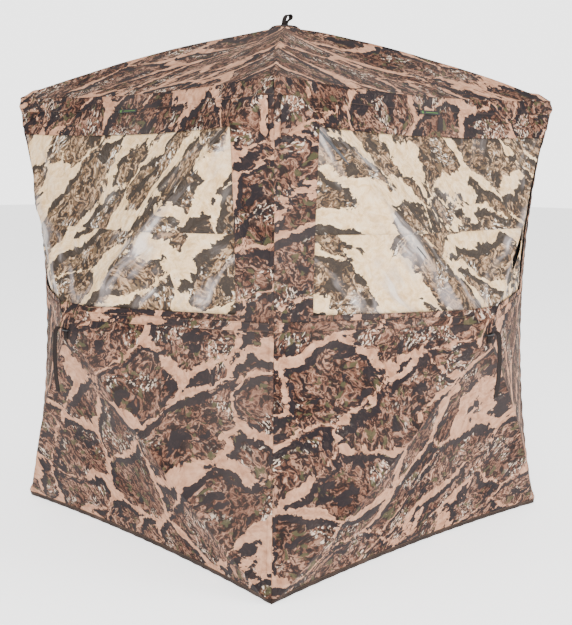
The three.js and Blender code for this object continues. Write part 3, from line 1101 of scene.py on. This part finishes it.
class BLIND_OT_roof(bpy.types.Operator):
    """Sews the roof in its four triangles, with the tapes that hold its poles"""

    bl_idname = "blind.roof"
    bl_label = "Roof"

    def execute(self, context):
        face = FACE["roof"]
        keys = ("roof_cloth", DARK)
        for sector in SECTORS:
            span = (-HALF, HALF, -HALF, HALF)
            made = panel(f"Roof_{sector}", face, sector, span, keys, "roof")

            def shave(bm, sector=sector):
                for sign in (1, -1):
                    n = Vector((1, sign, 0)).normalized() * 0.008
                    cut(bm, (n.x, n.y), (n.x, n.y), both=True)
                    cut(bm, (-n.x, -n.y), (n.x, n.y), both=True)
                drop_faces(
                    bm,
                    lambda c: min(abs(c.x - c.y), abs(c.x + c.y)) > 0.008 * math.sqrt(2)
                    or max(abs(c.x), abs(c.y)) < 0.05,
                )

            made = panel(
                f"Roof_seam_{sector}",
                face,
                sector,
                span,
                keys,
                "roof",
                shave=shave,
                lift=0.0014,
                cell=0.008,
            )
        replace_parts(made, "roof")
        return {"FINISHED"}


class BLIND_OT_windows(bpy.types.Operator):
    """Hangs the see-through window panels behind their openings, with the slit at the slack end"""

    bl_idname = "blind.windows"
    bl_label = "Windows"

    def execute(self, context):
        sizes = context.scene.blind_windows
        lap = 0.014
        low, seam, high = (z - WALL_HALF for z in (WINDOW_LOW, WINDOW_SEAM, WINDOW_HIGH))

        def folds(face, x, y):
            inset = min(WINDOW_SIDE + lap - abs(x), y - low + lap, high + lap - y)
            calm = smooth_step(inset, 0.0, 0.06)
            at_seam = 0.35 + 0.65 * smooth_step(abs(y - seam), 0.0, 0.05)
            r = smooth_step(math.hypot(x, y), HUB_COVER, 0.14)
            return cloth_wrinkle(face, x, y) + window_wrinkle(face, x, y) * calm * at_seam * r * sizes.depth

        for name in WALLS:
            face = FACE[name]
            key = window_key(face)
            right = window_right(face)
            far = -1 if name in ("front", "back") else 1
            slit_top = Vector((far * 0.372, seam - 0.004, 0))
            slit_low = Vector((far * 0.246, low + 0.050, 0))
            across = Vector((far * sizes.slack, 0, 0))
            line = slit_low - slit_top
            normal = (line.y, -line.x)

            def slit(bm, top=slit_top, across=across, line=line, normal=normal, low_at=slit_low.y):
                for point in (top, top + across):
                    cut(bm, point, normal, both=True)
                cut(bm, (0, low_at), (0, 1), both=True)

                def between(c):
                    near, far_side = line.cross(c - top).z, line.cross(c - top - across).z
                    return near * far_side < 0 and c.y > low_at

                drop_faces(bm, between)

            for part, y0, y1 in (("upper", seam - 0.006, high + lap), ("lower", low - lap, seam + 0.006)):
                behind = -WINDOW_RECESS - (0.0016 if part == "lower" else 0)
                first = None
                for sector in SECTORS:
                    made = panel(
                        f"Window_{name}_{part}_{sector}",
                        face,
                        sector,
                        (-WINDOW_SIDE - lap, right + lap, y0, y1),
                        (f"{key}_{part}", DARK),
                        f"window_{name}_{part}",
                        shave=slit if part == "lower" else None,
                        lift=behind,
                        wrinkle=folds,
                        thickness=0.0008,
                    )
                    if made:
                        first = first or made
                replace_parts(first, f"window_{name}_{part}")
            screen = panel(
                f"Screen_{name}",
                face,
                "left" if far < 0 else "right",
                (*sorted((far * 0.20, far * 0.50)), low + 0.02, seam),
                ("mesh", "mesh"),
                f"window_{name}_lower",
                lift=-0.022,
                thickness=0.0006,
            )
        return {"FINISHED"}


class BLIND_OT_hems(bpy.types.Operator):
    """Binds the bottom edge of every wall"""

    bl_idname = "blind.hems"
    bl_label = "Hem bindings"

    def execute(self, context):
        for name in WALLS:
            face = FACE[name]
            span = (-HALF, HALF, -WALL_HALF + 0.0004, -WALL_HALF + HEM_HEIGHT)
            for sector in ("left", "right", "bottom"):
                bm = keep_sector(flat_cut(*span, 0.006), face, sector)
                bm_area = sum(f.calc_area() for f in bm.faces)
                xs, ys = [v.co.x for v in bm.verts], [v.co.y for v in bm.verts]
                w, h = max(xs) - min(xs), max(ys) - min(ys)
                remember_cut(bm)
                uv = bm.loops.layers.uv["cut"]
                for f in bm.faces:
                    for loop in f.loops:
                        loop[uv].uv = (loop.vert.co.x, loop.vert.co.y + WALL_HALF)
                edge = -WALL_HALF + HEM_HEIGHT / 2

                def roll(x, y):
                    return 0.0016 - 0.0022 * ((y - edge) / (HEM_HEIGHT / 2)) ** 4

                lay(bm, face, roll, cloth_wrinkle)
                out = face.matrix.to_3x3() @ Vector((0, 0, 1))
                if sum((f.normal for f in bm.faces), Vector()).dot(out) < 0:
                    bmesh.ops.reverse_faces(bm, faces=bm.faces)
                piece = finished(f"Hem_{name}_{sector}", bm, [material("binding")])
                thicken(piece, 0.0035)
                face.follow(piece, sector)
                declare(piece, w, h, bm_area, f"hem_{name}")
            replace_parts(piece, f"hem_{name}")
        return {"FINISHED"}


def lathe(profile, place, steps=32):
    """Turns a profile of (radius, height) points round the local z axis of place."""
    bm = bmesh.new()
    verts = [bm.verts.new((r, 0, z)) for r, z in profile]
    edges = [bm.edges.new(pair) for pair in zip(verts, verts[1:])]
    bmesh.ops.spin(
        bm,
        geom=verts + edges,
        cent=(0, 0, 0),
        axis=(0, 0, 1),
        angle=2 * math.pi,
        steps=steps,
        use_merge=True,
        use_duplicate=False,
    )
    bmesh.ops.remove_doubles(bm, verts=bm.verts, dist=1e-6)
    bmesh.ops.recalc_face_normals(bm, faces=bm.faces)
    bmesh.ops.transform(bm, matrix=place, verts=bm.verts)
    return bm


def basis(origin, x, y, z):
    m = Matrix((x, y, z)).transposed().to_4x4()
    m.translation = origin
    return m


def swept(points, radii, sides=14):
    """A round bar along a line of points, capped at both ends, with its length in its map."""
    bm = bmesh.new()
    start = (points[1] - points[0]).normalized()
    ring = bmesh.ops.create_circle(bm, cap_ends=True, segments=sides, radius=1.0)["verts"]
    turn = start.to_track_quat("Z", "Y").to_matrix().to_4x4()
    bmesh.ops.transform(
        bm,
        matrix=Matrix.Translation(points[0]) @ turn @ Matrix.Diagonal((radii[0], radii[0], 1, 1)),
        verts=ring,
    )
    end = [f for f in bm.faces]
    uv = bm.loops.layers.uv.new("along")
    travelled, lengths = 0.0, {v: 0.0 for v in ring}
    for before, here, radius, last in zip(points, points[1:], radii[1:], radii):
        made = bmesh.ops.extrude_face_region(bm, geom=end)["geom"]
        end = [g for g in made if isinstance(g, bmesh.types.BMFace)]
        fresh = [g for g in made if isinstance(g, bmesh.types.BMVert)]
        old_turn = turn
        turn = (here - before).normalized().to_track_quat("Z", "Y").to_matrix().to_4x4()
        size = Matrix.Diagonal((radius / last, radius / last, 1, 1))
        move = Matrix.Translation(here) @ turn @ size @ old_turn.inverted() @ Matrix.Translation(-before)
        bmesh.ops.transform(bm, matrix=move, verts=fresh)
        travelled += (here - before).length
        lengths.update({v: travelled for v in fresh})
    for f in bm.faces:
        for loop in f.loops:
            loop[uv].uv = (loop.vert.index % sides / sides, lengths.get(loop.vert, 0.0))
    bmesh.ops.recalc_face_normals(bm, faces=bm.faces)
    return bm


def add_into(bm, other):
    """Puts another bmesh's geometry into this one."""
    mesh = bpy.data.meshes.new("part")
    other.to_mesh(mesh)
    other.free()
    bm.from_mesh(mesh)
    bpy.data.meshes.remove(mesh)
    return bm


def bevelled_box(size, place, radius, segments=2):
    bm = bmesh.new()
    bmesh.ops.create_cube(bm, size=1.0)
    bmesh.ops.scale(bm, vec=size, verts=bm.verts)
    bmesh.ops.bevel(
        bm,
        geom=bm.edges[:],
        offset=radius,
        offset_type="OFFSET",
        segments=segments,
        profile=0.5,
        affect="EDGES",
        material=-1,
    )
    bmesh.ops.transform(bm, matrix=place, verts=bm.verts)
    return bm


CORNERS = {"ur": (1, 1), "ul": (-1, 1), "ll": (-1, -1), "lr": (1, -1)}
PIN_AT, POLE_DEPTH, TIP_AT = 0.050, 0.018, 0.92


class Diagonal:
    """A face's pole: where it starts, ends and bows, in the face's own axes."""

    def __init__(self, face, corner):
        sx, sy = CORNERS[corner]
        self.face = face
        self.reach = math.hypot(face.half_x, face.half_y)
        self.along = Vector((sx * face.half_x, sy * face.half_y, 0)) / self.reach
        self.out = Vector((0, 0, 1))
        self.across = self.out.cross(self.along)
        self.pin = self.point(PIN_AT / self.reach)
        self.tip = self.point(TIP_AT)

    def point(self, m):
        return self.along * (m * self.reach) + self.out * (self.face.standing(m) - POLE_DEPTH)

    def line(self, count):
        """The pole's own bend: a parabola through its pin and tip."""
        sag = 4 * self.face.bow * ((TIP_AT - PIN_AT / self.reach) / 2) ** 2
        middle = (self.pin + self.tip) / 2 + self.out * (2 * sag)
        spots = (i / (count - 1) for i in range(count))
        return [self.pin * (1 - t) ** 2 + middle * (2 * t * (1 - t)) + self.tip * t * t for t in spots]


def face_piece(name, bm, face, key):
    """A finished object from a bmesh in the face's own axes."""
    bmesh.ops.transform(bm, matrix=face.matrix, verts=bm.verts)
    return finished(name, bm, [material(key)])


class BLIND_OT_poles(bpy.types.Operator):
    """Fits the twenty fibreglass poles, each with a moulded knuckle at its hub end and a cap at its tip"""

    bl_idname = "blind.poles"
    bl_label = "Poles"

    def execute(self, context):
        radius = context.scene.blind_poles.radius
        for name in FACES:
            face = FACE[name]
            for corner in CORNERS:
                d = Diagonal(face, corner)
                line = d.line(28)
                rod = swept(line, [radius] * len(line))
                start = (line[1] - line[0]).normalized()
                at = [line[0] + start * s for s in (0.007, 0.012, 0.030, 0.046, 0.052, 0.058, 0.0585)]
                sleeve = swept(at, [0.0062, 0.0080, 0.0082, 0.0078, 0.0078, 0.0066, 0.0058])
                end = (line[-1] - line[-2]).normalized()
                cap_at = [line[-1] + end * s for s in (-0.030, -0.028, -0.004, 0.002, 0.006, 0.0072)]
                cap = swept(cap_at, [0.0060, 0.0074, 0.0074, 0.0068, 0.0044, 0.0015])
                eye = lathe(
                    [(0.0034, -0.0055), (0.0072, -0.0055), (0.0079, -0.0048), (0.0079, 0.0048), (0.0072, 0.0055),
                     (0.0034, 0.0055), (0.0034, -0.0055)],
                    basis(d.pin, d.along, d.out, d.across),
                    24,
                )
                fittings = add_into(add_into(sleeve, cap), eye)
                for part, bm, key in (("rod", rod, "rod"), ("fittings", fittings, "nylon")):
                    piece = face_piece(f"Pole_{name}_{corner}_{part}", bm, face, key)
                    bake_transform(piece)
                    if part == "rod":
                        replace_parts(piece, f"pole_{name}_{corner}")
        return {"FINISHED"}


class BLIND_OT_hubs(bpy.types.Operator):
    """Dresses the five hubs: fabric cover outside, and inside a ribbed cap over the forks"""

    bl_idname = "blind.hubs"
    bl_label = "Hubs"

    def execute(self, context):
        radius = context.scene.blind_hubs.radius
        for name in FACES:
            face = FACE[name]
            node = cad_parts[face.hub]
            node.data.materials.clear()
            node.data.materials.append(material("nylon"))
            back = face.standing(radius / min(face.half_x, face.half_y)) - HUB_DEPTH
            cap = lathe(
                [(0, -0.006), (0.010, -0.006), (0.012, -0.0045), (0.026, -0.0045), (0.029, -0.003), (0.030, 0.0),
                 (0.030, 0.001), (0, 0.001), (0, -0.006)],
                Matrix.Translation((0, 0, back)),
                40,
            )
            for turn in range(6):
                spin = Matrix.Rotation(turn * math.pi / 3, 4, "Z")
                rib = bevelled_box(
                    (0.016, 0.003, 0.004),
                    Matrix.Translation((0, 0, back - 0.0055)) @ spin @ Matrix.Translation((0.019, 0, 0)),
                    0.0008,
                )
                add_into(cap, rib)
            piece = face_piece(f"Hub_{name}_cap", cap, face, "nylon")
            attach(piece, face.hub)
            for corner in CORNERS:
                d = Diagonal(face, corner)
                for side in (-1, 1):
                    place = basis(d.pin + d.across * side * 0.0108, d.along, d.out * side, d.across * side)
                    head = lathe(
                        [
                            (0, 0.0016),
                            (0.0022, 0.0015),
                            (0.0034, 0.0010),
                            (0.0038, 0.0002),
                            (0.0038, -0.0008),
                            (0, -0.0008),
                        ],
                        place,
                        20,
                    )
                    piece = face_piece(f"Pin_{name}_{corner}_{'ab'[side > 0]}", head, face, "steel")
                    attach(piece, face.hub)
            disc = bmesh.new()
            bmesh.ops.create_grid(disc, x_segments=26, y_segments=26, size=0.056)
            drop_faces(
                disc,
                lambda c: math.hypot(c.x, c.y) > COVER_RADIUS
                or abs(abs(c.x) - 0.015) < 0.0035 and abs(c.y) < 0.004,
            )
            remember_cut(disc)
            lay(
                disc,
                face,
                0.0016,
                lambda f,
                x,
                y: cloth_wrinkle(f, x, y) * smooth_step(math.hypot(x, y), 0.04, COVER_RADIUS),
            )
            cover = finished(f"Hub_{name}_cover", disc, [material("gusset_cloth"), material(DARK)])
            thicken(cover, 0.0012, inner=1)
            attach(cover, face.hub)
        return {"FINISHED"}


def webbing_strip(line, width, place, lean=lambda t: 0.0):
    """Flat webbing along a line of (y, z) points in a face's own axes, with its width along x."""
    bm = bmesh.new()
    count = 8
    bmesh.ops.create_grid(bm, x_segments=count, y_segments=len(line) - 1, size=0.5)
    remember = bm.loops.layers.uv.new("cut")
    run = [0.0]
    for a, b in zip(line, line[1:]):
        run.append(run[-1] + math.dist(a, b))
    rows = len(line) - 1
    where = {}
    for v in bm.verts:
        row = round((v.co.y + 0.5) * rows)
        t = v.co.x
        y, z = line[row]
        where[v] = (t * width, run[row])
        curl = 0.0012 * (2 * t) ** 2
        v.co = Vector((t * width + lean(run[row]), y, z + curl * 0.4))
    for f in bm.faces:
        for loop in f.loops:
            loop[remember].uv = where[loop.vert]
    bmesh.ops.recalc_face_normals(bm, faces=bm.faces)
    bmesh.ops.transform(bm, matrix=place, verts=bm.verts)
    return bm, run[-1]


def smooth_line(points, steps):
    """Points along a smooth line through the given ones."""
    spots = [Vector((*p, 0.0)) if len(p) == 2 else Vector(p) for p in points]
    full = [spots[0] * 2 - spots[1], *spots, spots[-1] * 2 - spots[-2]]
    out = []
    for a, b, c, d in zip(full, full[1:], full[2:], full[3:]):
        for i in range(steps):
            t = i / steps
            out.append(
                (b * 2 + (c - a) * t + (a * 2 - b * 5 + c * 4 - d) * t * t
                 + (b * 3 - a - c * 3 + d) * t**3) / 2
            )
    out.append(spots[-1])
    return [(p.x, p.y) for p in out]


class BLIND_OT_straps(bpy.types.Operator):
    """Hangs a webbing pull strap over the bail of each wall's hub, and stands a loop on the roof's"""

    bl_idname = "blind.straps"
    bl_label = "Pull straps"

    def execute(self, context):
        sizes = context.scene.blind_straps
        for name in FACES:
            face = FACE[name]
            bar = face.standing(HOLE) + BAIL_STANDS
            if name == "roof":
                shape = [(-0.004, -0.006), (-0.0045, 0.004), (-0.002, 0.016), (0.004, 0.028), (0.014, 0.036),
                         (0.026, 0.037), (0.032, 0.029), (0.027, 0.020), (0.014, 0.013), (0.0055, 0.005),
                         (0.004, -0.006)]
            else:
                tail = sizes.tail
                shape = [(-0.028, -0.0052), (-0.016, -0.0050), (-0.002, -0.0042), (0.006, 0.0), (0.011, 0.010),
                         (0.012, 0.020), (0.006, 0.029), (-0.010, 0.033), (-0.050, 0.034), (-0.100, 0.035),
                         (-0.150, 0.034), (-tail, 0.030)]
            line = smooth_line([(y, bar + z) for y, z in shape], 6)
            side = {"front": -1, "right": 1}.get(name, 1)

            def lean(s, side=side):
                return side * (0.006 * math.sin(s * 14.0) * smooth_step(s, 0.05, 0.2))

            bm, length = webbing_strip(line, sizes.width, face.matrix, lean)
            piece = finished(f"Pull_strap_{name}", bm, [material("webbing")])
            thicken(piece, WEBBING_THICK, offset=0.0)
            body = "hub_roof" if name == "roof" else f"strap_{name}"
            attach(piece, body)
            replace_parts(piece, f"pull_strap_{name}")
        return {"FINISHED"}


class BLIND_OT_patches(bpy.types.Operator):
    """Sews the heavy patches that hold the pole tips in the cabin's corners"""

    bl_idname = "blind.patches"
    bl_label = "Corner patches"

    def execute(self, context):
        for node in [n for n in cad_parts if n.startswith("boot_")]:
            low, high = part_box(node)
            sx, sy = (1 if low[0] > 0 else -1), (1 if low[1] > 0 else -1)
            leg, top = high[0] - low[0], node.endswith("top")
            z = (low[2] + high[2]) / 2
            corner = Vector((high[0] if sx > 0 else low[0], high[1] if sy > 0 else low[1], z))
            bm = bmesh.new()
            bmesh.ops.create_grid(bm, x_segments=20, y_segments=20, size=leg / 2)
            cut(bm, (0.0, 0.0), (1.0, 1.0))
            remember_cut(bm)
            for v in bm.verts:
                x, y = v.co.x, v.co.y
                d = (x + y) / leg
                sag = 0.0012 * math.sin(x * 90) * math.sin(y * 80) + 0.003 * d * (1 - d) * (1 if top else -1)
                v.co = corner + Vector((sx * (x - leg / 2), sy * (y - leg / 2), sag))
            bmesh.ops.recalc_face_normals(bm, faces=bm.faces)
            area = sum(f.calc_area() for f in bm.faces)
            piece = finished("Patch_" + node[5:], bm, [material("patch")])
            thicken(piece, PATCH_THICK, offset=0.0)
            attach(piece, "shell")
            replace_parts(piece, node)
        return {"FINISHED"}


class BLIND_OT_door(bpy.types.Operator):
    """Sews the zipped door into the back wall: tape, coil, leaf and slider"""

    bl_idname = "blind.door"
    bl_label = "Door"

    def execute(self, context):
        tape = context.scene.blind_door.tape
        face = FACE["back"]
        span = (DOOR_FREE - tape - 0.002, DOOR_HINGE + tape + 0.002, -0.66, 0.66)

        def ring(bm):
            door_cut(bm, -tape - 0.002)
            door_cut(bm, 0.0)
            drop_faces(bm, lambda c: door_inside(c.x, c.y, 0.0) or not door_inside(c.x, c.y, -tape - 0.002))

        made = panel(
            "Door_tape",
            face,
            "right",
            span,
            ("zip", DARK),
            "wall_back",
            shave=ring,
            lift=0.0012,
            cell=0.007,
        )
        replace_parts(made, "door_zip_tape")

        def leaf_cut(bm):
            door_cut(bm, DOOR_PLAY)
            drop_faces(bm, lambda c: not door_inside(c.x, c.y, DOOR_PLAY))

        leaf = panel(
            "Door_leaf",
            face,
            "right",
            span,
            (cloth_key(face), DARK),
            "wall_back",
            shave=leaf_cut,
            lift=-0.0006,
        )
        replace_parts(leaf, "door_leaf")
        low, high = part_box("door_zip_slider")
        middle = (low + high) / 2
        bm = bevelled_box(
            (0.013, 0.005, 0.017),
            Matrix.Translation((middle.x, low.y + 0.0026, high.z - 0.009)),
            0.0014,
            3,
        )
        pull = bevelled_box(
            (0.007, 0.0018, 0.036),
            Matrix.Translation((middle.x, low.y + 0.0058, high.z - 0.034)),
            0.0008,
            2,
        )
        loop = lathe(
            [(0.0042, -0.0008), (0.0055, -0.0008), (0.0055, 0.0008), (0.0042, 0.0008), (0.0042, -0.0008)],
            Matrix.Translation((middle.x, low.y + 0.0062, high.z - 0.015)) @ Matrix.Rotation(
                math.pi / 2, 4, "X"
            ),
            24,
        )
        piece = finished("Door_slider", add_into(add_into(bm, pull), loop), [material("zinc")])
        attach(piece, "zip_slider")
        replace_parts(piece, "door_zip_slider")
        return {"FINISHED"}


class BLIND_OT_stage(bpy.types.Operator):
    """Sets the pale studio floor, its soft lights and the camera"""

    bl_idname = "blind.stage"
    bl_label = "Studio and camera"

    def execute(self, context):
        sizes = context.scene.blind_stage
        bm = bmesh.new()
        bmesh.ops.create_grid(bm, x_segments=1, y_segments=1, size=30)
        floor = finished("Floor", bm, [material("floor")], smooth=False)
        world = bpy.data.worlds.new("Studio")
        world.use_nodes = True
        tree = world.node_tree
        tree.nodes["Background"].inputs["Color"].default_value = (1, 1, 1, 1)
        seen = tree.nodes.new("ShaderNodeLightPath")
        strength = tree.nodes.new("ShaderNodeMapRange")
        strength.inputs["To Min"].default_value, strength.inputs["To Max"].default_value = 0.85, 3.2
        tree.links.new(seen.outputs["Is Camera Ray"], strength.inputs["Value"])
        tree.links.new(strength.outputs["Result"], tree.nodes["Background"].inputs["Strength"])
        context.scene.world = world
        for name, spot, energy, size in (
            ("Key", (4.5, -5.0, 5.5), 620, 3.0),
            ("Fill", (5.5, 2.5, 3.0), 240, 4.0),
            ("Top", (0.0, -0.5, 6.5), 120, 5.0),
        ):
            data = bpy.data.lights.new(name, "AREA")
            data.energy, data.size = energy, size
            light = bpy.data.objects.new(name, data)
            light.location = spot
            light.rotation_euler = (Vector((0, 0, 0.8)) - Vector(spot)).to_track_quat("-Z", "Y").to_euler()
            context.scene.collection.objects.link(light)
        data = bpy.data.cameras.new("Camera")
        data.lens, data.sensor_width = sizes.lens, 36.0
        camera = bpy.data.objects.new("Camera", data)
        yaw, pitch, roll = (math.radians(a) for a in (136.3992, -7.9899, 0.4367))
        ahead = Vector((math.cos(pitch) * math.cos(yaw), math.cos(pitch) * math.sin(yaw), math.sin(pitch)))
        right = ahead.cross(Vector((0, 0, 1))).normalized()
        up = right.cross(ahead)
        x = right * math.cos(roll) + up * math.sin(roll)
        y = up * math.cos(roll) - right * math.sin(roll)
        camera.matrix_world = basis(Vector(sizes.spot), x, y, -ahead)
        context.scene.collection.objects.link(camera)
        context.scene.camera = camera
        return {"FINISHED"}


GROUPS = {
    "blind_walls": BLIND_walls,
    "blind_windows": BLIND_windows,
    "blind_door": BLIND_door,
    "blind_poles": BLIND_poles,
    "blind_hubs": BLIND_hubs,
    "blind_straps": BLIND_straps,
    "blind_stage": BLIND_stage,
}
OPERATORS = (
    BLIND_OT_walls,
    BLIND_OT_gussets,
    BLIND_OT_roof,
    BLIND_OT_windows,
    BLIND_OT_door,
    BLIND_OT_hems,
    BLIND_OT_poles,
    BLIND_OT_hubs,
    BLIND_OT_straps,
    BLIND_OT_patches,
    BLIND_OT_stage,
)


class BLIND_PT_panel(bpy.types.Panel):
    """Lists the blind's pieces and their sizes"""

    bl_label = "Pop-up blind"
    bl_space_type = "VIEW_3D"
    bl_region_type = "UI"
    bl_category = "Blind"

    def draw(self, context):
        for operator in OPERATORS:
            self.layout.operator(operator.bl_idname)
            key = operator.bl_idname.replace(".", "_")
            for field in getattr(GROUPS.get(key), "__annotations__", {}):
                self.layout.prop(getattr(context.scene, key), field)


def register():
    for group in GROUPS.values():
        bpy.utils.register_class(group)
    for key, group in GROUPS.items():
        setattr(bpy.types.Scene, key, PointerProperty(type=group))
    for operator in (*OPERATORS, BLIND_PT_panel):
        bpy.utils.register_class(operator)


def unregister():
    for operator in reversed((*OPERATORS, BLIND_PT_panel)):
        bpy.utils.unregister_class(operator)
    for key in GROUPS:
        delattr(bpy.types.Scene, key)
    for group in reversed(GROUPS.values()):
        bpy.utils.unregister_class(group)


def main():
    register()
    for operator in OPERATORS:
        call = getattr(bpy.ops.blind, operator.bl_idname.split(".")[1])
        if call() != {"FINISHED"}:
            raise RuntimeError(f"{operator.bl_label} did not finish")


if __name__ == "__main__":
    main()
